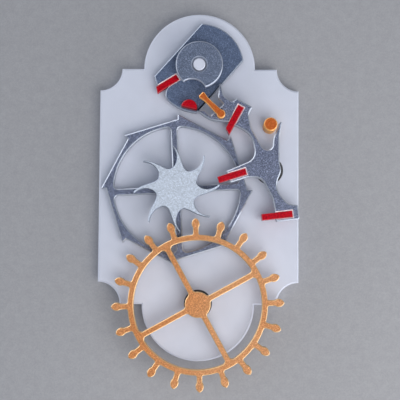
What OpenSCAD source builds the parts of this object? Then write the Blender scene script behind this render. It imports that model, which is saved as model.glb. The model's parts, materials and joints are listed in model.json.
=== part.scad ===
// Co-axial escapement model for the bench, lying flat with its working side up.
// X runs across the plate, Y along it towards the balance, Z out of its face.
// The origin is on the plate's back face, at the middle of the plate's rectangle.

/* [Base plate] */
// Width of the plate's rectangle
plate_w = 100; // [94:0.5:120]
// Thickness of the plate
plate_t = 8; // [7:0.5:14]
// Radius of the round lobes under the balance and the drive wheel
lobe_r = 28; // [24:0.25:34]
// Distance that the rectangle's ends stand outside the balance and drive axes
plate_margin = 0.4; // [0:0.1:3]
// Radius of the scooped corners
corner_r = 11; // [6:0.5:14]
// Chamfer round the plate's front edge
plate_chamfer = 0.8; // [0.4:0.1:2]

/* [Levels] */
// Gap between the plate and the escape wheel
wheel_gap = 2.4; // [1.6:0.1:5]
// Thickness of the escape wheel and of the impulse roller
wheel_t = 3.5; // [2.4:0.1:6]
// Thickness of the lever, the star and the drive wheel
lever_t = 3.6; // [2.8:0.1:6]
// Thickness of the guard dart and of the safety roller
guard_t = 2.4; // [1.6:0.1:5]
// Gap between one level of the movement and the next
level_gap = 0.8; // [0.5:0.1:2]

/* [Ball bearings] */
// Bore of a bearing and diameter of its arbor
bearing_bore = 5; // [4:0.5:5.5]
// Outside diameter of a bearing
bearing_od = 14; // [13.5:0.5:18]
// Width of a bearing
bearing_w = 5; // [4.5:0.5:6]
// Diameter of a bearing's balls
ball_d = 2.5; // [2:0.1:2.6]
// Number of balls in a bearing
ball_count = 7; // [5:1:8]

/* [Drive wheel] */
// Radius over the drive wheel's teeth
drive_tip_r = 42.2; // [38:0.1:46]
// Height of the drive wheel's teeth over its rim
drive_tooth_h = 8.1; // [7:0.1:9.5]
// Width of the drive wheel's rim
drive_rim_w = 2.8; // [2:0.1:5]
// Width of a tooth's round head
drive_tooth_w = 3.9; // [3:0.1:4.4]
// Width of a tooth's neck
drive_neck_w = 2.7; // [1.8:0.1:2.9]
// Length of a tooth's round head
drive_head_l = 5.6; // [4.8:0.1:6.4]
// Radius of the drive wheel's hub
drive_hub_r = 6.3; // [5.5:0.1:10]
// Width of the drive wheel's spokes
drive_spoke_w = 2.7; // [2:0.1:5]

/* [Escape wheel] */
// Radius over the escape wheel's teeth
wheel_tip_r = 37.6; // [36:0.1:40]
// Height of the escape wheel's locking faces
wheel_step = 2.6; // [1.6:0.1:3.4]
// Width of the escape wheel's rim under its locking faces
wheel_rim_w = 3.8; // [3.4:0.1:8]
// Width of the escape wheel's spokes
wheel_spoke_w = 3.3; // [2:0.1:6]
// Distance of the escape axis from the plate's centre line
escape_offset = 10.75; // [9:0.25:13]

/* [Star] */
// Radius over the star's teeth
star_tip_r = 21.2; // [20:0.1:22]
// Radius at the bottom of the star's notches
star_root_r = 10.2; // [9:0.1:12]
// Width left at the tip of a star tooth
star_tip_w = 0.8; // [0.6:0.1:2]
// Sideways hook of a star tooth, in degrees
star_bend = 11.5; // [4:0.5:13]
// Depth that the drive wheel's teeth reach into the star
mesh_depth = 5.9; // [5:0.1:6.4]

/* [Lever] */
// Distance of the lever's pivot outside the escape wheel's tooth circle
lever_setback = 9.5; // [8:0.1:12]
// Swing of the lever between its bankings, in degrees
lever_swing = 16; // [14:0.5:16.5]
// Distance from the pivot to the bottom of the fork's slot
slot_r = 39; // [37:0.1:42]
// Width of the fork's slot
slot_w = 8.7; // [8.3:0.1:9.4]
// Depth of the fork's slot
slot_depth = 3.9; // [3:0.1:5]
// Distance from the pivot to the banking pin
bank_r = 21.8; // [20:0.1:24]
// Radius of the banking pin
bank_pin_r = 3.35; // [2.6:0.05:3.8]
// Radius of the lever's body round its pivot
lever_hub_r = 5.3; // [4.8:0.1:7]

/* [Pallet stones] */
// Length of the impulse stone
stone_l = 14.2; // [12:0.1:17]
// Length of a locking stone
lock_stone_l = 15; // [13:0.1:17]
// Width of a pallet stone
stone_w = 3.1; // [2.4:0.1:3.6]
// Length of a lever stone that stands out of the lever
stone_out = 5.2; // [4:0.1:7]
// Width of the lever's wall beside a stone
stone_wall = 1.45; // [1:0.05:2.5]
// Depth that a locking stone reaches into the tooth circle
lock_depth = 0.35; // [0.2:0.05:0.5]
// Extra length of one side at the slanted ends
stone_slant = 2; // [0:0.1:2.6]

/* [Balance rollers] */
// Radius that the balance stone reaches
balance_stone_r = 24.6; // [23.5:0.1:26]
// Depth that the balance stone's path reaches into the tooth circle
impulse_depth = 0.25; // [0.1:0.05:1]
// Radius of the impulse roller at its stone end
roller_r = 22.8; // [21.6:0.1:23.4]
// Radius of the impulse roller at its plain end
roller_plain_r = 22.2; // [18:0.1:24]
// Half the distance between the roller's two flats
roller_flat = 13.9; // [12.5:0.1:16]
// Distance from the balance axis to the roller pin's flat
roller_pin_flat = 21.3; // [20:0.1:21.4]
// Radius of the half-round roller pin
roller_pin_r = 3.9; // [3:0.1:4]
// Radius of the safety roller
safety_r = 11.6; // [10:0.1:12.5]
// Radius of the safety roller's passing notch
safety_notch_r = 7.3; // [5:0.1:9]
// Depth of the passing notch
safety_notch_depth = 4; // [2:0.1:4.4]
// Radius of the balance post
post_r = 3; // [2.4:0.1:4]

/* [Fits] */
// Clearance of pieces that are pressed together
press_gap = 0.02; // [0.01:0.01:0.05]
// Clearance of pieces that turn or pass each other
run_gap = 0.3; // [0.2:0.05:0.5]
// Chamfer on turned edges
edge_chamfer = 0.5; // [0.2:0.1:0.8]

/* [Hidden] */
$fn = 96;

plate_white = "#e6e8f0";
silver_grey = "#868b9b";
pale_grey = "#cdd2dc";
amber = "#e58a35";
ruby = "#c00d16";
steel = "#b9bdc4";
seal_black = "#17171a";

// Small overlap that lets a cut run clear of a face
cut = 1;
// Depth that a fillet or a spoke runs into the metal it joins
sunk = 0.4;
// Depth that a fillet's circle crosses the edges that it blends
bite = 0.05;
// Smoothness of large rims and of small rounds
large_fn = 180;
small_fn = 48;

// Tooth counts: the drive wheel turns the star two and a half times as fast, backwards
drive_teeth = 20;
escape_teeth = 8;
spoke_count = 4;

// Angles at rest, with the escape wheel held by the upper locking stone
drive_tooth_a = 1.8;
drive_spoke_a = 29;
wheel_tooth_a = -0.2;
wheel_spoke_a = 3.2;
star_tooth_a = 5.4;
roller_a = 48.6;
balance_stone_a = 212;
roller_pin_a = 256.6;

// Heights of the three levels of the movement
wheel_z = plate_t + wheel_gap;
lever_z = wheel_z + wheel_t + level_gap;
guard_z = lever_z + lever_t + level_gap;
guard_top = guard_z + guard_t;
// Skin left over an arbor's blind hole
blind_skin = 1.2;

// Places of the axes, worked out from the wheels that meet
drive_escape = drive_tip_r + star_tip_r - mesh_depth;
escape_balance = wheel_tip_r + balance_stone_r - impulse_depth;
// Room between the roller pin's flat and the bottom of the fork's slot
pin_room = 1.5;
lever_balance = roller_pin_flat + slot_r + pin_room;
lever_escape = wheel_tip_r + lever_setback;
drive_rise = sqrt(pow(drive_escape, 2) - pow(escape_offset, 2));
balance_rise = sqrt(pow(escape_balance, 2) - pow(escape_offset, 2));
axis_span = drive_rise + balance_rise;
plate_l = axis_span + 2 * plate_margin;
drive_axis = [0, -axis_span / 2];
balance_axis = [0, axis_span / 2];
escape_axis = [-escape_offset, drive_axis.y + drive_rise];
to_balance = bearing_of(balance_axis - escape_axis);
lever_corner = acos((pow(lever_escape, 2) + pow(escape_balance, 2) - pow(lever_balance, 2))
                    / (2 * lever_escape * escape_balance));
lever_axis = escape_axis + polar(lever_escape, to_balance - lever_corner);
fork_a = bearing_of(balance_axis - lever_axis) + lever_swing / 2;
bank_a = 90;
bank_axis = lever_axis + polar(bank_r, bank_a);

// Frames [origin, angle] of the fork and of the stones: u runs along a piece, v to its left
fork_frame = [lever_axis, fork_a];
upper_a = 62;
upper_tip_a = 46.3;
upper_frame = [escape_axis + polar(wheel_tip_r - lock_depth, upper_tip_a)
               + polar(stone_w / 2, upper_a + 90), upper_a];
lower_a = 7;
lower_lock_a = -18.2;
lower_tip = escape_axis + polar(wheel_tip_r - lock_depth, lower_lock_a);
lower_frame = [lever_axis + turned(lower_tip - lever_axis, lever_swing), lower_a];
impulse_a = 17.5;
impulse_tip_a = 12.4;
// Depth that the impulse stone reaches into the star's tooth circle
impulse_reach = 0.3;
impulse_frame = [escape_axis + polar(star_tip_r - impulse_reach, impulse_tip_a), impulse_a];

function polar(r, a) = [r * cos(a), r * sin(a)];
function bearing_of(v) = atan2(v.y, v.x);
function turned(v, a) = [v.x * cos(a) - v.y * sin(a), v.x * sin(a) + v.y * cos(a)];
function in_frame(frame, u, v) = frame[0] + turned([u, v], frame[1]);
function unit(v) = v / norm(v);

// Largest share of an edge that a rounded corner takes, and the angle between its points
corner_share = 0.48;
corner_step = 10;

// One corner b of an outline, rounded to radius r between its neighbours a and c
function rounded_corner(a, b, c, r) =
  let (to_a = unit(a - b), to_c = unit(c - b))
  let (half = acos(max(-1, min(1, to_a * to_c))) / 2)
  let (room = corner_share * min(norm(a - b), norm(c - b)))
  let (back = min(r / tan(half), room), radius = back * tan(half))
  let (centre = b + unit(to_a + to_c) * radius / sin(half))
  let (first = bearing_of(b + to_a * back - centre), last = bearing_of(b + to_c * back - centre))
  let (sweep = (last - first + 540) % 360 - 180, steps = max(2, ceil(abs(sweep) / corner_step)))
  r == 0 ? [b] : [for (i = [0:steps]) centre + polar(radius, first + sweep * i / steps)];

// An outline of [point, corner radius] pairs as a smooth list of points
function rounded(outline) =
  let (n = len(outline))
  [for (i = [0:n - 1])
     each rounded_corner(outline[(i + n - 1) % n][0], outline[i][0], outline[(i + 1) % n][0], outline[i][1])];

// Plain modules that several pieces share

module raised(z, h) {
  translate([0, 0, z]) linear_extrude(h) children();
}

// Fillet between a bar of half width w and the outside of a circle of radius r, on the bar's left
module outer_fillet(r, w, f) {
  y = w + f - bite;
  centre = [sqrt(pow(r + f - bite, 2) - pow(y, 2)), y];
  foot = polar(r - sunk, bearing_of(centre));
  difference() {
    polygon([[foot.x, w - sunk], [centre.x, w - sunk], centre, foot]);
    translate(centre) circle(f, $fn = small_fn);
  }
}

// Fillet between a bar of half width w and the inside of a circle of radius r, on the bar's left
module inner_fillet(r, w, f) {
  y = w + f - bite;
  centre = [sqrt(pow(r - f + bite, 2) - pow(y, 2)), y];
  foot = polar(r + sunk, bearing_of(centre));
  difference() {
    polygon([[centre.x, w - sunk], [r + sunk, w - sunk], foot, centre]);
    translate(centre) circle(f, $fn = small_fn);
  }
}

// Spokes from a hub to the inside of a rim, with fillets at the rim
module spokes(count, first_a, hub_r, rim_r, w, f) {
  for (k = [0:count - 1])
    rotate(first_a + k * 360 / count) {
      translate([0, -w / 2]) square([rim_r + sunk, w]);
      for (side = [0, 1])
        mirror([0, side]) {
          inner_fillet(rim_r, w / 2, f);
          outer_fillet(hub_r, w / 2, f);
        }
    }
}

// Turned boss that stands on a bearing's inner race and carries a wheel at height z
boss_foot = 0.7;
module boss(z, r) {
  translate([0, 0, plate_t]) cylinder(h = boss_foot, r = race_r - run_gap);
  translate([0, 0, plate_t + boss_foot]) cylinder(h = z - plate_t - boss_foot, r = r);
}

module arbor_hole(top) {
  translate([0, 0, plate_t - cut]) cylinder(h = top - plate_t + cut, r = bearing_bore / 2);
}

module arbor(axis, top) {
  color(steel) translate(axis) translate([0, 0, plate_t - bearing_w])
    cylinder(h = top - plate_t + bearing_w, r = bearing_bore / 2 - press_gap);
}

// Bearings, sunk in the plate with their front faces level with it

ball_path_r = (bearing_bore + bearing_od) / 4;
groove_r = ball_d / 2 + 2 * press_gap;
race_wall = 0.95;
race_r = ball_path_r - race_wall;
outer_land_r = ball_path_r + race_wall;
seal_t = 0.6;
seal_seat = 0.8;
seal_r = outer_land_r + seal_seat;
// Ledge of plate left under the outer race
seat_ledge = 2;
floor_hole_r = bearing_od / 2 - seat_ledge;

module ball_groove() {
  rotate_extrude() translate([ball_path_r, 0]) circle(groove_r, $fn = small_fn);
}

module at_bearing(axis) {
  translate(axis) translate([0, 0, plate_t - bearing_w / 2]) children();
}

module ring(h, r_out, r_in) {
  difference() {
    cylinder(h = h, r = r_out, center = true);
    cylinder(h = h + 2 * cut, r = r_in, center = true);
  }
}

module bearing_outer_race(axis) {
  color(steel) at_bearing(axis) difference() {
    ring(bearing_w, bearing_od / 2 - press_gap, outer_land_r);
    ball_groove();
    for (side = [-1, 1])
      translate([0, 0, side * (bearing_w / 2)]) cylinder(h = 2 * seal_t, r = seal_r, center = true);
  }
}

module bearing_inner_race(axis) {
  color(steel) at_bearing(axis) difference() {
    ring(bearing_w, race_r, bearing_bore / 2);
    ball_groove();
  }
}

module bearing_balls(axis) {
  color(steel) at_bearing(axis)
    for (k = [0:ball_count - 1])
      rotate(k * 360 / ball_count) translate([ball_path_r, 0, 0]) sphere(d = ball_d, $fn = small_fn);
}

module bearing_seals(axis) {
  color(seal_black) at_bearing(axis)
    for (side = [-1, 1])
      translate([0, 0, side * (bearing_w - seal_t) / 2])
        ring(seal_t, seal_r - press_gap, race_r + run_gap / 2);
}

// Base plate and the pins fixed in it

module plate_profile(span) {
  half = span / 2;
  polygon([[-half, 0], [half, 0], [half, plate_t - plate_chamfer], [half - plate_chamfer, plate_t],
           [plate_chamfer - half, plate_t], [-half, plate_t - plate_chamfer]]);
}

module plate_lobe(y) {
  translate([0, y, 0]) {
    cylinder(h = plate_t - plate_chamfer, r = lobe_r);
    translate([0, 0, plate_t - plate_chamfer])
      cylinder(h = plate_chamfer, r1 = lobe_r, r2 = lobe_r - plate_chamfer);
  }
}

module corner_scoop() {
  translate([0, 0, -cut]) cylinder(h = plate_t + 2 * cut, r = corner_r);
  translate([0, 0, plate_t - plate_chamfer])
    cylinder(h = 2 * plate_chamfer, r1 = corner_r, r2 = corner_r + 2 * plate_chamfer);
}

module bearing_seat(axis) {
  translate(axis) {
    translate([0, 0, plate_t - bearing_w]) cylinder(h = bearing_w + cut, r = bearing_od / 2);
    translate([0, 0, -cut]) cylinder(h = plate_t, r = floor_hole_r);
  }
}

// Thickness of plate left under the post and the banking pin
pin_floor = 2;

module pin_hole(axis, r) {
  translate(axis) translate([0, 0, pin_floor]) cylinder(h = plate_t, r = r);
}

module base_plate() {
  color(plate_white) difference() {
    union() {
      difference() {
        intersection() {
          rotate([90, 0, 0]) linear_extrude(plate_l, center = true) plate_profile(plate_w);
          rotate([90, 0, 90]) linear_extrude(plate_w, center = true) plate_profile(plate_l);
        }
        for (x = [-1, 1], y = [-1, 1])
          translate([x * plate_w / 2, y * plate_l / 2, 0]) corner_scoop();
      }
      for (end = [-1, 1])
        plate_lobe(end * plate_l / 2);
    }
    for (axis = [drive_axis, escape_axis, lever_axis])
      bearing_seat(axis);
    pin_hole(balance_axis, post_r);
    pin_hole(bank_axis, bank_pin_r);
  }
}

// Round pin from the plate's hole to a height, with a chamfered top
module turned_pin(r, top) {
  rotate_extrude()
    polygon([[0, pin_floor], [r - press_gap, pin_floor], [r - press_gap, top - edge_chamfer],
             [r - edge_chamfer, top], [0, top]]);
}

post_shoulder_r = 6;
// Height of the post over the safety roller, and of the banking pin over the lever
post_over = 0.4;
bank_over = 1;
post_top = guard_top + post_over;
bank_top = lever_z + lever_t + bank_over;

module balance_post() {
  color(plate_white) translate(balance_axis) {
    turned_pin(post_r, post_top);
    translate([0, 0, plate_t]) cylinder(h = wheel_gap - run_gap, r = post_shoulder_r);
  }
}

module banking_pin() {
  color(amber) translate(bank_axis) turned_pin(bank_pin_r, bank_top);
}

// Drive wheel: 20 club-shaped teeth that push the star round

drive_rim_r = drive_tip_r - drive_tooth_h;
drive_fillet = 1.9;
drive_tooth_fillet = 1.1;
wheel_boss_r = 4.6;

module drive_tooth() {
  head_half = drive_head_l / 2;
  bow_r = (pow(drive_tooth_w / 2, 2) + pow(head_half, 2)) / drive_tooth_w;
  head_x = drive_tip_r - head_half;
  intersection_for (side = [-1, 1])
    translate([head_x, side * (bow_r - drive_tooth_w / 2)]) circle(bow_r);
  translate([drive_rim_r - drive_rim_w / 2, -drive_neck_w / 2])
    square([head_x - drive_rim_r + drive_rim_w / 2, drive_neck_w]);
  for (side = [0, 1])
    mirror([0, side]) outer_fillet(drive_rim_r, drive_neck_w / 2, drive_tooth_fillet);
}

module drive_outline() {
  difference() {
    circle(drive_rim_r, $fn = large_fn);
    circle(drive_rim_r - drive_rim_w, $fn = large_fn);
  }
  for (k = [0:drive_teeth - 1])
    rotate(drive_tooth_a + k * 360 / drive_teeth) drive_tooth();
  spokes(spoke_count, drive_spoke_a, drive_hub_r, drive_rim_r - drive_rim_w, drive_spoke_w, drive_fillet);
  circle(drive_hub_r);
}

module drive_wheel() {
  color(amber) translate(drive_axis) difference() {
    union() {
      raised(lever_z, lever_t) drive_outline();
      boss(lever_z, wheel_boss_r);
    }
    arbor_hole(lever_z + lever_t - blind_skin);
  }
}

// Escape wheel: a saw-toothed rim that the lever's locking stones hold

wheel_rim_r = wheel_tip_r - wheel_step - wheel_rim_w;
wheel_hub_r = 8.6;
wheel_fillet = 2;
tooth_pitch = 360 / escape_teeth;

module sawtooth_outline() {
  polygon([for (k = [0:escape_teeth - 1])
             each [polar(wheel_tip_r, wheel_tooth_a + k * tooth_pitch),
                   polar(wheel_tip_r - wheel_step, wheel_tooth_a + k * tooth_pitch)]]);
}

module escape_outline() {
  difference() {
    sawtooth_outline();
    circle(wheel_rim_r, $fn = large_fn);
  }
  spokes(spoke_count, wheel_spoke_a, wheel_hub_r, wheel_rim_r, wheel_spoke_w, wheel_fillet);
  circle(wheel_hub_r);
}

module escape_wheel() {
  color(silver_grey) translate(escape_axis) difference() {
    union() {
      raised(wheel_z, wheel_t) escape_outline();
      boss(wheel_z, wheel_boss_r);
    }
    arbor_hole(wheel_z + wheel_t + cut);
  }
}

// Star: curved teeth that the drive wheel pushes and that push the lever's impulse stone

star_collar_r = 7;
// How quickly a notch opens from its round bottom, towards tips that hook sideways
notch_power = 1.75;
notch_steps = 20;
star_notch_half = (2 * PI * star_tip_r / escape_teeth - star_tip_w) / 2;

function star_point(k, s) =
  let (rise = pow(abs(s), notch_power), r = star_root_r + (star_tip_r - star_root_r) * rise)
  let (spread = s * star_notch_half / r * 180 / PI, hook = star_bend * (1 - rise * rise))
  polar(r, star_tooth_a + (k + 0.5) * tooth_pitch + spread - hook);

module star_outline() {
  polygon([for (k = [0:escape_teeth - 1], i = [0:notch_steps]) star_point(k, 2 * i / notch_steps - 1)]);
}

module impulse_star() {
  color(pale_grey) translate(escape_axis) difference() {
    union() {
      raised(lever_z, lever_t) star_outline();
      translate([0, 0, wheel_z + wheel_t]) cylinder(h = level_gap, r = star_collar_r);
    }
    arbor_hole(lever_z + lever_t - blind_skin);
  }
}

// Lever: fork, three stone holders and the prong that meets the banking pin

stone_half = stone_w / 2 + stone_wall;
slot_half = slot_w / 2;
horn_in = slot_r + slot_depth;
// How far a horn's tip stands beyond the slot's mouth, along and across the fork
horn_rise = 4.9;
horn_spread = 5.2;
// The left horn is shorter, so that it passes the roller pin
left_horn_share = 0.58;
horn_tip_w = 0.9;
// Half angle at the pivot that the banking pin and its gap take up
bank_half_a = asin((bank_pin_r + run_gap) / bank_r);
// Prong: a leaning horn whose inner face meets the pin; its reach each way along that face and its tip
prong_lean = 20;
prong_frame = [bank_axis, bank_a - prong_lean];
prong_face = -bank_pin_r - run_gap;
prong_over = 2.9;
prong_under = 6;
prong_tip_w = 1.3;
// Notch round the banking pin: its floor over the hub and its corners
notch_rise = 4;
notch_floor = lever_hub_r + notch_rise;
notch_left = 3.4;
notch_right = 0.9;
notch_r = 2.6;
// Lever's right side: straight flank under the prong, bulge at the hub and waist
flank = [4.4, 3.2];
flank_l = 12.6;
hub_bulge = [0.1, -0.8];
waist = 4.2;
// Bays above and under the impulse arm, from the pivot
upper_bay = [-9.4, 17];
upper_bay_floor = [-7, 4.9];
lower_bay_roof = [-4.4, -4.4];
lower_bay = [1, -14.4];
// Metal behind a stone's inner end, the swell beside it, the step back at its heel, and the same at the foot
holder_end = 2.4;
holder_swell = 2.1;
holder_back = 1.8;
holder_lip = 0.9;
foot_lip = 1.5;
foot_end = 3.2;
holder_wall = 0.3;
// Fork: width of its right shoulder, thickness of its left horn and depth of its throat
fork_shoulder = 4.2;
horn_root = 2.9;
horn_root_back = 1.2;
fork_left = 1.3;
throat = 6;
throat_narrow = 2.7;
// Roundings: sharp edges, small corners, waists and long sweeps
edge_r = 0.5;
corner_small_r = 0.8;
waist_r = 4;
bay_r = 5.5;
sweep_r = 9;

function hub_point(p) = lever_axis + p;
function horn(side, share) =
  in_frame(fork_frame, horn_in + share * horn_rise, side * (slot_half + share * horn_spread));

lever_outline = [
  // Flank and prong, right of the banking pin
  [hub_point(flank), bay_r],
  [hub_point([flank.x, flank.y + flank_l]), sweep_r],
  [in_frame(prong_frame, prong_over, prong_face - prong_tip_w), edge_r],
  [in_frame(prong_frame, prong_over, prong_face), edge_r],
  [in_frame(prong_frame, -prong_under, prong_face), sweep_r],
  // Notch round the banking pin
  [hub_point([notch_right, notch_floor]), notch_r],
  [hub_point([-notch_left, notch_floor]), waist_r],
  [hub_point(polar(bank_r, bank_a + bank_half_a + lever_swing)), sweep_r],
  // Holder of the upper locking stone
  [in_frame(upper_frame, lock_stone_l - holder_back, -stone_half - holder_swell), waist_r],
  [in_frame(upper_frame, lock_stone_l + holder_end, -stone_half - holder_swell), corner_small_r],
  [in_frame(upper_frame, lock_stone_l + holder_end, stone_half + holder_lip), corner_small_r],
  // Fork with its two horns
  [in_frame(fork_frame, slot_r - holder_end, -slot_half - fork_shoulder), waist_r / 2],
  [in_frame(fork_frame, horn_in - horn_root_back, -slot_half - horn_root), waist_r],
  [horn(-1, 1) + polar(horn_tip_w, fork_a - 90), edge_r],
  [horn(-1, 1), edge_r],
  [in_frame(fork_frame, horn_in, -slot_half), corner_small_r],
  [in_frame(fork_frame, slot_r, -slot_half), edge_r],
  [in_frame(fork_frame, slot_r, slot_half), edge_r],
  [in_frame(fork_frame, horn_in, slot_half), corner_small_r],
  [horn(1, left_horn_share), edge_r],
  [horn(1, left_horn_share) + polar(horn_tip_w, fork_a + 180), edge_r],
  [in_frame(fork_frame, slot_r - fork_left, slot_half + fork_left), bay_r],
  [in_frame(fork_frame, slot_r - throat, slot_half - throat_narrow), bay_r],
  // End of the upper holder, where the stone stands out
  [in_frame(upper_frame, stone_out, stone_w / 2 + holder_wall), holder_wall],
  [in_frame(upper_frame, stone_out, -stone_w / 2 - holder_wall), holder_wall],
  // Bay above the impulse arm
  [hub_point(upper_bay), sweep_r],
  [hub_point(upper_bay_floor), bay_r],
  // Holder of the impulse stone
  [in_frame(impulse_frame, stone_out, stone_half), edge_r],
  [in_frame(impulse_frame, stone_out, -stone_half), edge_r],
  [in_frame(impulse_frame, stone_l, -stone_half), bay_r],
  // Bay under the impulse arm
  [hub_point(lower_bay_roof), bay_r],
  [hub_point(lower_bay), sweep_r],
  // Holder of the lower locking stone
  [in_frame(lower_frame, stone_out + foot_lip, stone_half), edge_r],
  [in_frame(lower_frame, stone_out + foot_lip, -stone_half), edge_r],
  [in_frame(lower_frame, lock_stone_l + foot_end, -stone_half), corner_small_r],
  [in_frame(lower_frame, lock_stone_l + foot_end, stone_half + holder_lip), corner_small_r],
  [in_frame(lower_frame, lock_stone_l - holder_back, stone_half + holder_swell), waist_r],
  [hub_point([holder_swell, -lever_hub_r - waist]), sweep_r],
  [hub_point([lever_hub_r + hub_bulge.x, hub_bulge.y]), bay_r],
];

module stone_slot(frame, l) {
  translate(frame[0]) rotate(frame[1])
    translate([0, -stone_w / 2]) square([l, stone_w]);
}

// Guard dart's round foot and the peg that holds it in the lever
dart_foot_r = 2.05;
dart_peg_r = 1.2;
dart_foot_back = 3;
dart_foot_u = slot_r - dart_foot_back;
dart_peg_l = 2.4;
dart_axis = in_frame(fork_frame, dart_foot_u, 0);

module lever() {
  color(silver_grey) difference() {
    union() {
      raised(lever_z, lever_t) polygon(rounded(lever_outline));
      translate(lever_axis) boss(lever_z, wheel_boss_r);
    }
    translate(lever_axis) arbor_hole(lever_z + lever_t - blind_skin);
    raised(lever_z - cut, lever_t + 2 * cut) {
      stone_slot(upper_frame, lock_stone_l);
      stone_slot(impulse_frame, stone_l);
      stone_slot(lower_frame, lock_stone_l);
    }
    translate(dart_axis) translate([0, 0, lever_z + lever_t - dart_peg_l])
      cylinder(h = dart_peg_l + cut, r = dart_peg_r);
  }
}

// Stone with its tip at the frame's origin; its ends slant so that one side is longer
module stone(frame, l, foot, top, slant) {
  half = stone_w / 2 - press_gap;
  color(ruby) translate(frame[0]) rotate(frame[1]) raised(foot, top - foot)
    polygon([[0, -half], [l - press_gap, -half], [l - press_gap, half], [slant, half]]);
}

lock_foot = wheel_z + run_gap;
lever_top = lever_z + lever_t;

module upper_locking_stone() {
  stone(upper_frame, lock_stone_l, lock_foot, lever_top, stone_slant);
}

module impulse_stone() {
  stone(impulse_frame, stone_l, lever_z, lever_top, 0);
}

module lower_locking_stone() {
  stone(lower_frame, lock_stone_l, lock_foot, lever_top, 0);
}

// Room between the dart's tip and the safety roller as the lever swings past it
dart_pass = 0.35;
dart_l = lever_balance - safety_r - dart_pass - dart_foot_u;
// Turn of the dart on its peg, off the middle of the fork
dart_turn = 3;
// Half widths of the dart at its foot, its waist, its swell and its blunt tip, and how far back they lie
dart_foot_half = 1.6;
dart_waist_half = 1.2;
dart_swell_half = 1.75;
dart_tip_half = 1.3;
dart_swell_back = 0.6;
dart_neck_back = 3.6;
dart_waist_back = 6.4;

module dart_outline() {
  edge = [[0, dart_foot_half], [dart_l - dart_waist_back, dart_waist_half],
          [dart_l - dart_neck_back, dart_waist_half], [dart_l - dart_swell_back, dart_swell_half],
          [dart_l, dart_tip_half]];
  last = len(edge) - 1;
  polygon([each edge, for (i = [last:-1:0]) [edge[i].x, -edge[i].y]]);
}

module guard_dart() {
  color(amber) translate(dart_axis) {
    rotate(fork_a + dart_turn) raised(guard_z, guard_t) dart_outline();
    translate([0, 0, lever_top]) cylinder(h = guard_top - lever_top, r = dart_foot_r);
    translate([0, 0, lever_top - dart_peg_l])
      cylinder(h = dart_peg_l + level_gap, r = dart_peg_r - press_gap);
  }
}

// Balance: two rollers that turn together on the white post

balance_bore = post_r + run_gap;
balance_stone_l = 12.8;
balance_stone_slant = 1.2;
balance_stone_in = balance_stone_r - balance_stone_l;
// Rounding of the roller beside the stone's working face
relief_r = 5;

module roller_blank() {
  rotate(roller_a) {
    intersection() {
      circle(roller_plain_r);
      translate([0, -roller_flat]) square([roller_plain_r, 2 * roller_flat]);
    }
    intersection() {
      circle(roller_r);
      translate([-roller_r, -roller_flat]) square([roller_r, 2 * roller_flat]);
    }
  }
}

// What the rounding takes off the roller's corner, beside the working face along u
module roller_relief() {
  centre_r = roller_r - relief_r;
  centre = polar(centre_r, asin(relief_r / centre_r));
  difference() {
    polygon([[centre.x, 0], [roller_r + cut, 0], centre * (roller_r + cut) / centre_r, centre]);
    translate(centre) circle(relief_r);
  }
}

module balance_stone_outline(grow) {
  translate([balance_stone_in - grow, -stone_w - grow])
    square([balance_stone_r - balance_stone_in + 2 * grow, stone_w + 2 * grow]);
}

module roller_pin_outline(grow) {
  intersection() {
    translate([roller_pin_flat, 0]) circle(roller_pin_r + grow);
    translate([roller_pin_flat - 2 * roller_pin_r, -2 * roller_pin_r])
      square([2 * roller_pin_r + grow, 4 * roller_pin_r]);
  }
}

module impulse_roller() {
  color(silver_grey) translate(balance_axis) raised(wheel_z, wheel_t) difference() {
    roller_blank();
    circle(balance_bore);
    rotate(balance_stone_a) {
      balance_stone_outline(press_gap);
      roller_relief();
    }
    rotate(roller_pin_a) roller_pin_outline(press_gap);
  }
}

module balance_stone() {
  color(ruby) translate(balance_axis) rotate(balance_stone_a) raised(wheel_z, wheel_t)
    polygon([[balance_stone_in, -stone_w], [balance_stone_r - balance_stone_slant, -stone_w],
             [balance_stone_r, 0], [balance_stone_in, 0]]);
}

module roller_pin() {
  color(ruby) translate(balance_axis) rotate(roller_pin_a)
    raised(wheel_z, lever_top - wheel_z) roller_pin_outline(0);
}

safety_neck_r = 6.5;
bore_chamfer = 0.9;

// Chamfer of the passing notch, narrower than that of the rim
safety_notch_chamfer = 0.8 * edge_chamfer;

module safety_roller() {
  color(silver_grey) translate(balance_axis) difference() {
    rotate_extrude()
      polygon([[balance_bore, wheel_z + wheel_t], [safety_neck_r, wheel_z + wheel_t],
               [safety_neck_r, guard_z], [safety_r, guard_z], [safety_r, guard_top - edge_chamfer],
               [safety_r - edge_chamfer, guard_top], [balance_bore + bore_chamfer, guard_top],
               [balance_bore, guard_top - bore_chamfer]]);
    rotate(roller_pin_a) translate([safety_r - safety_notch_depth + safety_notch_r, 0, 0])
      rotate_extrude()
        polygon([[0, guard_z - cut], [safety_notch_r, guard_z - cut],
                 [safety_notch_r, guard_top - safety_notch_chamfer],
                 [safety_notch_r + safety_notch_chamfer + cut, guard_top + cut], [0, guard_top + cut]]);
  }
}

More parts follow.
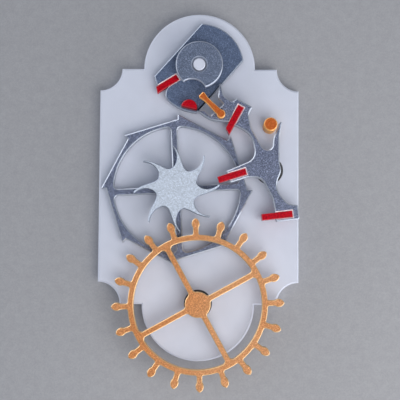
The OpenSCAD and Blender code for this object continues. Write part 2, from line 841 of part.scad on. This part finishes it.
base_plate();
balance_post();
banking_pin();
bearing_outer_race(drive_axis);  // drive_bearing_outer_race
bearing_inner_race(drive_axis);  // drive_bearing_inner_race
bearing_balls(drive_axis);  // drive_bearing_balls
bearing_seals(drive_axis);  // drive_bearing_seals
bearing_outer_race(escape_axis);  // escape_bearing_outer_race
bearing_inner_race(escape_axis);  // escape_bearing_inner_race
bearing_balls(escape_axis);  // escape_bearing_balls
bearing_seals(escape_axis);  // escape_bearing_seals
bearing_outer_race(lever_axis);  // lever_bearing_outer_race
bearing_inner_race(lever_axis);  // lever_bearing_inner_race
bearing_balls(lever_axis);  // lever_bearing_balls
bearing_seals(lever_axis);  // lever_bearing_seals
drive_wheel();
arbor(drive_axis, lever_z + lever_t - blind_skin);  // drive_arbor
escape_wheel();
impulse_star();
arbor(escape_axis, lever_z + lever_t - blind_skin);  // escape_arbor
lever();
arbor(lever_axis, lever_z + lever_t - blind_skin);  // lever_arbor
upper_locking_stone();
impulse_stone();
lower_locking_stone();
guard_dart();
impulse_roller();
safety_roller();
balance_stone();
roller_pin();
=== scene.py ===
"""Looks of the co-axial escapement model: bevelled, grained prints and red stones on a white plate."""

import json
import math
from collections import namedtuple

import bmesh
import bpy
from mathutils import Matrix, Vector
from mathutils.bvhtree import BVHTree

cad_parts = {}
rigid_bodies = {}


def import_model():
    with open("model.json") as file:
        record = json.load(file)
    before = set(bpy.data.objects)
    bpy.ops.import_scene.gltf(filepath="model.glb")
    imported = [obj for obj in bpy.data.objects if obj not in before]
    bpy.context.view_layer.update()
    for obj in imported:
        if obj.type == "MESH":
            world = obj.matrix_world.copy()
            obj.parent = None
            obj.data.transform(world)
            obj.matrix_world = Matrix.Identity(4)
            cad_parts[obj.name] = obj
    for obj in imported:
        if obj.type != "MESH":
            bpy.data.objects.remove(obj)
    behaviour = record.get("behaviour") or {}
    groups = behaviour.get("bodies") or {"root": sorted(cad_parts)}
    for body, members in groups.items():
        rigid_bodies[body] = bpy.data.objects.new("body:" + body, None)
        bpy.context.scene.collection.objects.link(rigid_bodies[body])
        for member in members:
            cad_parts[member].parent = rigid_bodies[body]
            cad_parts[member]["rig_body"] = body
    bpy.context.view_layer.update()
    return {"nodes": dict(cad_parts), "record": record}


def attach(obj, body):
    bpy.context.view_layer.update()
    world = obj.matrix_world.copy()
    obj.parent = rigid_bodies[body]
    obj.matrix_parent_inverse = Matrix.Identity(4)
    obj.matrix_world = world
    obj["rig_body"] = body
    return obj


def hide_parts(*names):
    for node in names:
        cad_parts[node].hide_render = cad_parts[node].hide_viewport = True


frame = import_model()

MM = 0.001
SLOT_OF = {s["node"]: s["material_slot"] for s in frame["record"]["subparts"]}

# Camera over the plate, looking down: place, turns in degrees and lens on a square picture
CAMERA_PLACE = Vector((4.7, -35.0, 458.0)) * MM
CAMERA_PITCH = -3.55
CAMERA_YAW = -0.51
CAMERA_ROLL = -0.42
CAMERA_LENS = 81.1

# Lamps, with place and size in mm: a soft key at lower right, a softer one overhead,
# and two low strips, across from each other, that the broken edges reflect
Lamp = namedtuple("Lamp", "place size power colour")
STRIP_PLACE = Vector((860, -720, 260))
STRIP_ACROSS = Vector((-STRIP_PLACE.x, -STRIP_PLACE.y, STRIP_PLACE.z))
STRIP_SIZE = (2000, 440)
STRIP_COLOUR = (0.97, 0.98, 1.0)
LAMPS = {
    "key": Lamp(Vector((185, -195, 400)), (380, 380), power=1.45, colour=(1.0, 0.97, 0.92)),
    "top": Lamp(Vector((70, -150, 700)), (600, 600), power=0.85, colour=(0.93, 0.96, 1.0)),
    "strip_right": Lamp(STRIP_PLACE, STRIP_SIZE, power=9.2, colour=STRIP_COLOUR),
    "strip_left": Lamp(STRIP_ACROSS, STRIP_SIZE, power=10.0, colour=STRIP_COLOUR),
}
SKY_COLOUR = (0.80, 0.89, 1.0, 1)
SKY_STRENGTH = 0.35
BACKDROP_COLOUR = (0.48, 0.49, 0.51, 1)

FLOOR_HALF = 800 * MM
FLOOR_COLOUR = (0.325, 0.325, 0.345)
FLOOR_GRAIN = 0.6 * MM

# Grained prints: colours of the faces and of the edges, contrast of the grain, shine of the edges,
# gloss of the faces, and the tint that the faces drift to
Print = namedtuple("Print", "face edge contrast shine gloss tint", defaults=(0.35, (0.95, 0.955, 0.96)))
PRINTS = {
    "silver": Print((0.115, 0.137, 0.222), (0.38, 0.415, 0.485), contrast=0.72, shine=0.7),
    "slate": Print((0.074, 0.108, 0.196), (0.28, 0.32, 0.40), contrast=0.48, shine=0.5),
    "safety": Print((0.102, 0.131, 0.206), (0.34, 0.38, 0.47), contrast=0.5, shine=0.5),
    "pale_silver": Print((0.50, 0.553, 0.650), (0.23, 0.265, 0.33), contrast=0.4, shine=0.95),
    "amber": Print((0.46, 0.098, 0.012), (0.85, 0.42, 0.13), contrast=0.28, shine=0.4, gloss=0.15),
    "wheel_amber": Print(
        (0.55, 0.240, 0.085), (0.62, 0.40, 0.20), contrast=0.46, shine=0.6, tint=(0.93, 0.78, 0.58)
    ),
}

# Colours of the other finishes; a lip is the edge of a slot that holds a stone, painted pale pink as a
# highlight with a painted reflection of the red stone
WHITE = (1.0, 1.0, 1.0)
PLATE_COLOUR = (0.56, 0.585, 0.685)
RUBY_COLOUR = (0.42, 0.003, 0.012)
RUBY_EDGE_COLOUR = (0.42, 0.006, 0.012)
# Painted highlight: this pale pink on the lips stands in for light caught on the slots' edges, with a
# painted reflection of the red stone
LIP_PAINTED_HIGHLIGHT_COLOUR = (0.78, 0.66, 0.69)
STEEL_COLOUR = (0.55, 0.56, 0.58)
SEAL_COLOUR = (0.012, 0.012, 0.014)
# Painted shade: the outer races are near black to stand in for the shade in the dark gap round the hubs, not
# as their steel
RACE_PAINTED_SHADE_COLOUR = (0.030, 0.032, 0.038)

# Nodes whose finish isn't their slot's own; the outer races get painted shade in place of steel
FINISH_OF = {
    "safety_roller": "safety",
    "drive_wheel": "wheel_amber",
    "drive_bearing_outer_race": "race_painted_shade",
    "escape_bearing_outer_race": "race_painted_shade",
    "lever_bearing_outer_race": "race_painted_shade",
}

# Width of the broken edge on each piece; 0 where the node has its chamfer already
BROKEN_EDGES = {
    "drive_wheel": 0.34 * MM,
    "escape_wheel": 0.5 * MM,
    "impulse_star": 0.24 * MM,
    "lever": 0.55 * MM,
    "impulse_roller": 0.5 * MM,
    "guard_dart": 0.36 * MM,
    "upper_locking_stone": 0.2 * MM,
    "impulse_stone": 0.2 * MM,
    "lower_locking_stone": 0.2 * MM,
    "balance_stone": 0.2 * MM,
    "roller_pin": 0.3 * MM,
    "safety_roller": 0,
    "banking_pin": 0,
    "balance_post": 0,
}
# Fall of a broken edge over its width
EDGE_DROP = 0.78
# Upward part of a face's normal: less than STEEP is a wall, and from there to FLAT is a broken edge
STEEP = 0.5
FLAT = 0.9
# How far below the top a corner of the top face may lie
CAP_TOLERANCE = 0.01 * MM
# Corners nearer than this are joined, so that slivers of an outline don't upset its broken edge
WELD = 0.06 * MM
# Faces that meet at less than this angle are shaded as one
SMOOTH_ANGLE = math.radians(32)
# Places of the materials on an edged piece, after that of its faces; the last is the lips' painted highlight
EDGE, WALL, LIP_PAINTED_HIGHLIGHT = 1, 2, 3

# Stones that sit in slots of a piece, and how near to them an edge of the slot lies to take the lips'
# painted highlight
STONES_IN = {
    "lever": ("upper_locking_stone", "impulse_stone", "lower_locking_stone"),
    "impulse_roller": ("balance_stone",),
}
LIP_PAINTED_HIGHLIGHT_REACH = 0.5 * MM

# Print grain: size of a grain, share of the grains that are darker than the print's colour,
# what the palest grains gain in every channel, and size of the patches in which the tint drifts
GRAIN = 0.24 * MM
DARK_SHARE = 0.7
SPECK = 0.15
DRIFT = 40 * MM
# Print layers on walls: height of a layer, depth and strength of its ridges,
# and the radians that Blender's wave texture turns by in one unit
LAYER = 0.2 * MM
RIDGE_DEPTH = 0.04 * MM
RIDGE_STRENGTH = 0.25
WAVE_RADIANS = 20

# Roughness of smooth edges and of layered walls, and shine of the stones' edges and of the lips' painted
# highlight
EDGE_ROUGH = (0.28, 0.4)
WALL_ROUGH = (0.48, 0.62)
STONE_SHINE = 0.2
# Ranges of a noise's values over which a shade, or a drifting tint, goes from one end to the other
SHADE_SPAN = (0.3, 0.7)
DRIFT_SPAN = (0.35, 0.65)


def scaled(colour, factor):
    return tuple(min(1.0, c * factor) for c in colour)


class Shader:
    """A node material with short calls for the nodes that the finishes share."""

    def __init__(self, name):
        self.material = bpy.data.materials.new(name)
        self.material.use_nodes = True
        self.tree = self.material.node_tree
        self.surface = self.tree.nodes["Principled BSDF"]
        self.place = self.add("ShaderNodeTexCoord").outputs["Object"]

    def add(self, kind, **settings):
        node = self.tree.nodes.new(kind)
        for key, value in settings.items():
            setattr(node, key, value)
        return node

    def link(self, output, socket):
        self.tree.links.new(output, socket)

    def noise(self, size, detail=2.0, stretch=(1, 1, 1)):
        """Noise whose features are about size across, in metres."""
        mapping = self.add("ShaderNodeMapping")
        mapping.inputs["Scale"].default_value = stretch
        self.link(self.place, mapping.inputs["Vector"])
        node = self.add("ShaderNodeTexNoise")
        node.inputs["Scale"].default_value = 1 / size
        node.inputs["Detail"].default_value = detail
        self.link(mapping.outputs["Vector"], node.inputs["Vector"])
        return node.outputs["Fac"]

    def cells(self, size):
        """A random value for each cell of about that size."""
        node = self.add("ShaderNodeTexVoronoi")
        node.inputs["Scale"].default_value = 1 / size
        self.link(self.place, node.inputs["Vector"])
        split = self.add("ShaderNodeSeparateColor")
        self.link(node.outputs["Color"], split.inputs["Color"])
        return split.outputs["Red"]

    def ridges(self):
        """Normal with the ridges of print layers, which show on walls."""
        wave = self.add("ShaderNodeTexWave", wave_type="BANDS", bands_direction="Z")
        wave.inputs["Scale"].default_value = 2 * math.pi / (WAVE_RADIANS * LAYER)
        self.link(self.place, wave.inputs["Vector"])
        return self.bump(wave.outputs["Fac"], RIDGE_STRENGTH, RIDGE_DEPTH)

    def ramp(self, value, stops):
        """Value turned into a colour through stops of (place, colour)."""
        node = self.add("ShaderNodeValToRGB")
        points = node.color_ramp.elements
        while len(points) < len(stops):
            points.new(0.5)  # it gets its place below
        for point, (where, colour) in zip(points, stops):
            point.position = where
            point.color = (*colour, 1)
        self.link(value, node.inputs["Fac"])
        return node.outputs["Color"]

    def shade(self, value, colour, low, high):
        """Value turned into shades of a colour, from low to high times as bright."""
        shades = (scaled(colour, low), scaled(colour, high))
        return self.ramp(value, list(zip(SHADE_SPAN, shades)))

    def multiply(self, first, second):
        node = self.add("ShaderNodeMix", data_type="RGBA", blend_type="MULTIPLY")
        node.inputs["Factor"].default_value = 1.0
        self.link(first, node.inputs["A"])
        self.link(second, node.inputs["B"])
        return node.outputs["Result"]

    def span(self, value, low, high):
        """Value from 0..1 spread over low..high."""
        node = self.add("ShaderNodeMapRange")
        node.inputs["To Min"].default_value = low
        node.inputs["To Max"].default_value = high
        self.link(value, node.inputs["Value"])
        return node.outputs["Result"]

    def bump(self, height, strength, depth, below=None):
        """Normal with a height's bumps, on top of another normal if there is one below."""
        node = self.add("ShaderNodeBump")
        node.inputs["Strength"].default_value = strength
        node.inputs["Distance"].default_value = depth
        self.link(height, node.inputs["Height"])
        if below:
            self.link(below, node.inputs["Normal"])
        return node.outputs["Normal"]

    def set(self, **values):
        """Plain values on the surface's own sockets."""
        for key, value in values.items():
            self.surface.inputs[key.replace("_", " ")].default_value = value

    def feed(self, **outputs):
        """Outputs linked to the surface's sockets."""
        for key, output in outputs.items():
            self.link(output, self.surface.inputs[key.replace("_", " ")])


def grain_print(name, look):
    """Printed plastic with a fine salt-and-pepper grain that drifts to a deeper tint."""
    s = Shader(name)
    grain = s.cells(GRAIN)
    dark = scaled(look.face, 1 - look.contrast)
    pale = tuple(c * (1 + look.contrast) + SPECK * look.contrast for c in look.face)
    tone = s.ramp(grain, [(0.0, dark), (DARK_SHARE, look.face), (1.0, pale)])
    drift = s.ramp(s.noise(DRIFT), list(zip(DRIFT_SPAN, (look.tint, WHITE))))
    s.feed(
        Base_Color=s.multiply(tone, drift),
        Roughness=s.span(grain, low=0.42, high=0.6),
        Normal=s.bump(s.noise(GRAIN), strength=0.3, depth=0.05 * MM, below=s.ridges()),
    )
    s.set(Specular_IOR_Level=look.gloss)
    return s.material


def edge_print(name, colour, shine, layered=False):
    """Smooth edge or layered wall of a print, which shines where something bright stands across from it."""
    s = Shader(name)
    wear = s.noise(1.2 * MM, detail=3)
    low, high = WALL_ROUGH if layered else EDGE_ROUGH
    s.feed(
        Base_Color=s.shade(wear, colour, low=0.85, high=1.1),
        Roughness=s.span(wear, low, high),
        Normal=s.bump(wear, strength=0.1, depth=0.03 * MM, below=s.ridges() if layered else None),
    )
    s.set(Metallic=shine)
    return s.material


def plate_print(name, colour):
    """White print with a smooth face and only a faint mottle."""
    s = Shader(name)
    mottle = s.noise(9 * MM, detail=4)
    grain = s.noise(0.7 * MM)
    s.feed(
        Base_Color=s.shade(mottle, colour, low=0.97, high=1.02),
        Roughness=s.span(grain, low=0.5, high=0.66),
        Normal=s.bump(grain, strength=0.12, depth=0.04 * MM, below=s.ridges()),
    )
    s.set(Specular_IOR_Level=0.3)
    return s.material


def red_stone(name, colour):
    """Clear red plastic, polished, with fine cloudy specks inside."""
    s = Shader(name)
    cloud = s.noise(0.8 * MM, detail=4)
    s.feed(
        Base_Color=s.shade(cloud, colour, low=0.5, high=1.35),
        Roughness=s.span(cloud, low=0.14, high=0.26),
        Normal=s.bump(s.noise(0.6 * MM), strength=0.08, depth=0.03 * MM),
    )
    s.set(Specular_IOR_Level=0.06)
    return s.material


def ground_steel(name, colour):
    """Ground steel with fine marks."""
    s = Shader(name)
    marks = s.noise(0.25 * MM, stretch=(1, 1, 8))
    s.feed(
        Base_Color=s.shade(marks, colour, low=0.86, high=1.08),
        Roughness=s.span(marks, low=0.22, high=0.38),
        Normal=s.bump(marks, strength=0.1, depth=0.01 * MM),
    )
    s.set(Metallic=1.0)
    return s.material


def seal_rubber(name, colour):
    """Black of the bearings' seals, with a satin bloom; on the outer races the black is painted shade."""
    s = Shader(name)
    bloom = s.noise(0.8 * MM, detail=3)
    s.feed(
        Base_Color=s.shade(bloom, colour, low=0.8, high=1.6),
        Roughness=s.span(bloom, low=0.42, high=0.6),
        Normal=s.bump(bloom, strength=0.1, depth=0.03 * MM),
    )
    return s.material


def floor_paint():
    """Plain pale grey table top with a faint grain."""
    s = Shader("floor")
    mottle = s.noise(4 * MM, detail=5)
    tone = s.shade(mottle, FLOOR_COLOUR, low=0.97, high=1.05)
    grain = s.ramp(s.cells(FLOOR_GRAIN), [(0.0, scaled(WHITE, 0.91)), (1.0, WHITE)])
    s.feed(
        Base_Color=s.multiply(tone, grain),
        Normal=s.bump(mottle, strength=0.05, depth=0.2 * MM),
    )
    s.set(Roughness=0.75, Specular_IOR_Level=0.25)
    return s.material


def make_finishes():
    """Finish name to its materials for the faces, the broken edges and the walls."""
    finishes = {}
    for name, look in PRINTS.items():
        edge = edge_print(name + "_edge", look.edge, look.shine)
        wall = edge_print(name + "_wall", look.edge, look.shine, layered=True)
        finishes[name] = (grain_print(name, look), edge, wall)
    ruby = red_stone("ruby", RUBY_COLOUR)
    finishes["ruby"] = (ruby, edge_print("ruby_edge", RUBY_EDGE_COLOUR, STONE_SHINE), ruby)
    plain = {
        "plate": plate_print("plate", PLATE_COLOUR),
        "steel": ground_steel("steel", STEEL_COLOUR),
        "seal": seal_rubber("seal", SEAL_COLOUR),
        # The outer races' finish is painted shade, near black
        "race_painted_shade": seal_rubber("race_painted_shade", RACE_PAINTED_SHADE_COLOUR),
    }
    for name, material in plain.items():
        finishes[name] = (material, material, material)
    return finishes


def welded(source):
    """A new bmesh with the CAD node's faces, its split corners joined."""
    shape = bmesh.new()
    verts = [shape.verts.new(v.co) for v in source.data.vertices]
    for polygon in source.data.polygons:
        shape.faces.new([verts[i] for i in polygon.vertices])
    bmesh.ops.remove_doubles(shape, verts=shape.verts, dist=WELD)
    shape.normal_update()
    return shape


def break_top_edges(shape, width):
    """Chamfers the outline of the shape's top face."""
    top = max(v.co.z for v in shape.verts)
    cap = [f for f in shape.faces if all(top - v.co.z < CAP_TOLERANCE for v in f.verts)]
    ring = bmesh.ops.inset_region(shape, faces=cap, thickness=width, use_boundary=True, use_even_offset=True)
    walls = {v for f in shape.faces if abs(f.normal.z) < STEEP for v in f.verts}
    for vert in {v for f in ring["faces"] for v in f.verts} & walls:
        vert.co.z = top - EDGE_DROP * width
    shape.normal_update()


def stone_trees(node):
    """Search trees of the stones that sit in a node's slots."""
    trees = []
    for stone in STONES_IN.get(node, ()):
        mesh = frame["nodes"][stone].data
        points = [v.co for v in mesh.vertices]
        trees.append(BVHTree.FromPolygons(points, [p.vertices for p in mesh.polygons]))
    return trees


def gap(tree, point):
    """Distance from a point to the nearest face of a search tree."""
    _, _, _, distance = tree.find_nearest(point)
    return distance


def mark_faces(shape, trees):
    """Walls and broken edges take materials of their own, and edges beside a stone take the lip's painted
    highlight.
    """
    for face in shape.faces:
        if abs(face.normal.z) < STEEP:
            face.material_index = WALL
        elif STEEP < face.normal.z < FLAT:
            centre = face.calc_center_median()
            beside = any(gap(tree, centre) < LIP_PAINTED_HIGHLIGHT_REACH for tree in trees)
            face.material_index = LIP_PAINTED_HIGHLIGHT if beside else EDGE


def edged_piece(node, width, materials):
    """A piece that stands for a CAD node, with its top edges broken."""
    source = frame["nodes"][node]
    shape = welded(source)
    if width:
        break_top_edges(shape, width)
    mark_faces(shape, stone_trees(node))
    mesh = bpy.data.meshes.new(node + "_edged")
    shape.to_mesh(mesh)
    shape.free()
    for material in materials:
        mesh.materials.append(material)
    mesh.shade_smooth()
    mesh.set_sharp_from_angle(angle=SMOOTH_ANGLE)
    piece = bpy.data.objects.new(node + "_edged", mesh)
    bpy.context.scene.collection.objects.link(piece)
    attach(piece, source["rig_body"])
    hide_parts(node)


def dress_nodes():
    """Every node gets its finish; those with broken edges get a piece of their own."""
    finishes = make_finishes()
    # Lips: a pale pink painted highlight, with a painted reflection of the stone, on the edges of the slots
    lip_painted_highlight = edge_print("lip_painted_highlight", LIP_PAINTED_HIGHLIGHT_COLOUR, STONE_SHINE)
    for node, obj in frame["nodes"].items():
        face, edge, wall = finishes[FINISH_OF.get(node, SLOT_OF[node])]
        obj.data.materials.clear()
        obj.data.materials.append(face)
        if node in BROKEN_EDGES:
            edged_piece(node, BROKEN_EDGES[node], (face, edge, wall, lip_painted_highlight))


def add_floor():
    mesh = bpy.data.meshes.new("floor")
    h = FLOOR_HALF
    mesh.from_pydata([(-h, -h, 0), (h, -h, 0), (h, h, 0), (-h, h, 0)], [], [(0, 1, 2, 3)])
    mesh.materials.append(floor_paint())
    floor = bpy.data.objects.new("floor", mesh)
    bpy.context.scene.collection.objects.link(floor)


def add_lamp(name, lamp):
    """Rectangular lamp that faces the middle of the plate."""
    data = bpy.data.lights.new(name, "AREA")
    data.shape = "RECTANGLE"
    data.size, data.size_y = (side * MM for side in lamp.size)
    data.energy = lamp.power
    data.color = lamp.colour
    obj = bpy.data.objects.new(name, data)
    obj.location = lamp.place * MM
    obj.rotation_euler = (-lamp.place).to_track_quat("-Z", "Y").to_euler()
    obj.visible_camera = False
    bpy.context.scene.collection.objects.link(obj)


def add_lamps():
    for name, lamp in LAMPS.items():
        add_lamp(name, lamp)


def add_sky():
    """Even sky light; what the camera and the reflections see of it is a pale backdrop."""
    world = bpy.data.worlds.new("studio")
    world.use_nodes = True
    bpy.context.scene.world = world
    tree = world.node_tree
    light = tree.nodes["Background"]
    light.inputs["Color"].default_value = SKY_COLOUR
    light.inputs["Strength"].default_value = SKY_STRENGTH
    backdrop = tree.nodes.new("ShaderNodeBackground")
    backdrop.inputs["Color"].default_value = BACKDROP_COLOUR
    path = tree.nodes.new("ShaderNodeLightPath")
    seen = path.outputs["Is Camera Ray"]
    for kind in ("Is Glossy Ray", "Is Transmission Ray"):
        either = tree.nodes.new("ShaderNodeMath")
        either.operation = "MAXIMUM"
        tree.links.new(seen, either.inputs[0])
        tree.links.new(path.outputs[kind], either.inputs[1])
        seen = either.outputs["Value"]
    mix = tree.nodes.new("ShaderNodeMixShader")
    tree.links.new(seen, mix.inputs["Fac"])
    tree.links.new(light.outputs["Background"], mix.inputs[1])
    tree.links.new(backdrop.outputs["Background"], mix.inputs[2])
    tree.links.new(mix.outputs["Shader"], tree.nodes["World Output"].inputs["Surface"])


def add_camera():
    data = bpy.data.cameras.new("camera")
    data.lens = CAMERA_LENS
    turn = (
        Matrix.Rotation(math.radians(CAMERA_ROLL), 3, "Z")
        @ Matrix.Rotation(math.radians(CAMERA_PITCH), 3, "X")
        @ Matrix.Rotation(math.radians(CAMERA_YAW), 3, "Y")
    )
    camera = bpy.data.objects.new("camera", data)
    bpy.context.scene.collection.objects.link(camera)
    camera.matrix_world = Matrix.Translation(CAMERA_PLACE) @ turn.transposed().to_4x4()
    bpy.context.scene.camera = camera


bpy.context.scene.view_settings.view_transform = "Standard"
dress_nodes()
add_floor()
add_lamps()
add_sky()
add_camera()
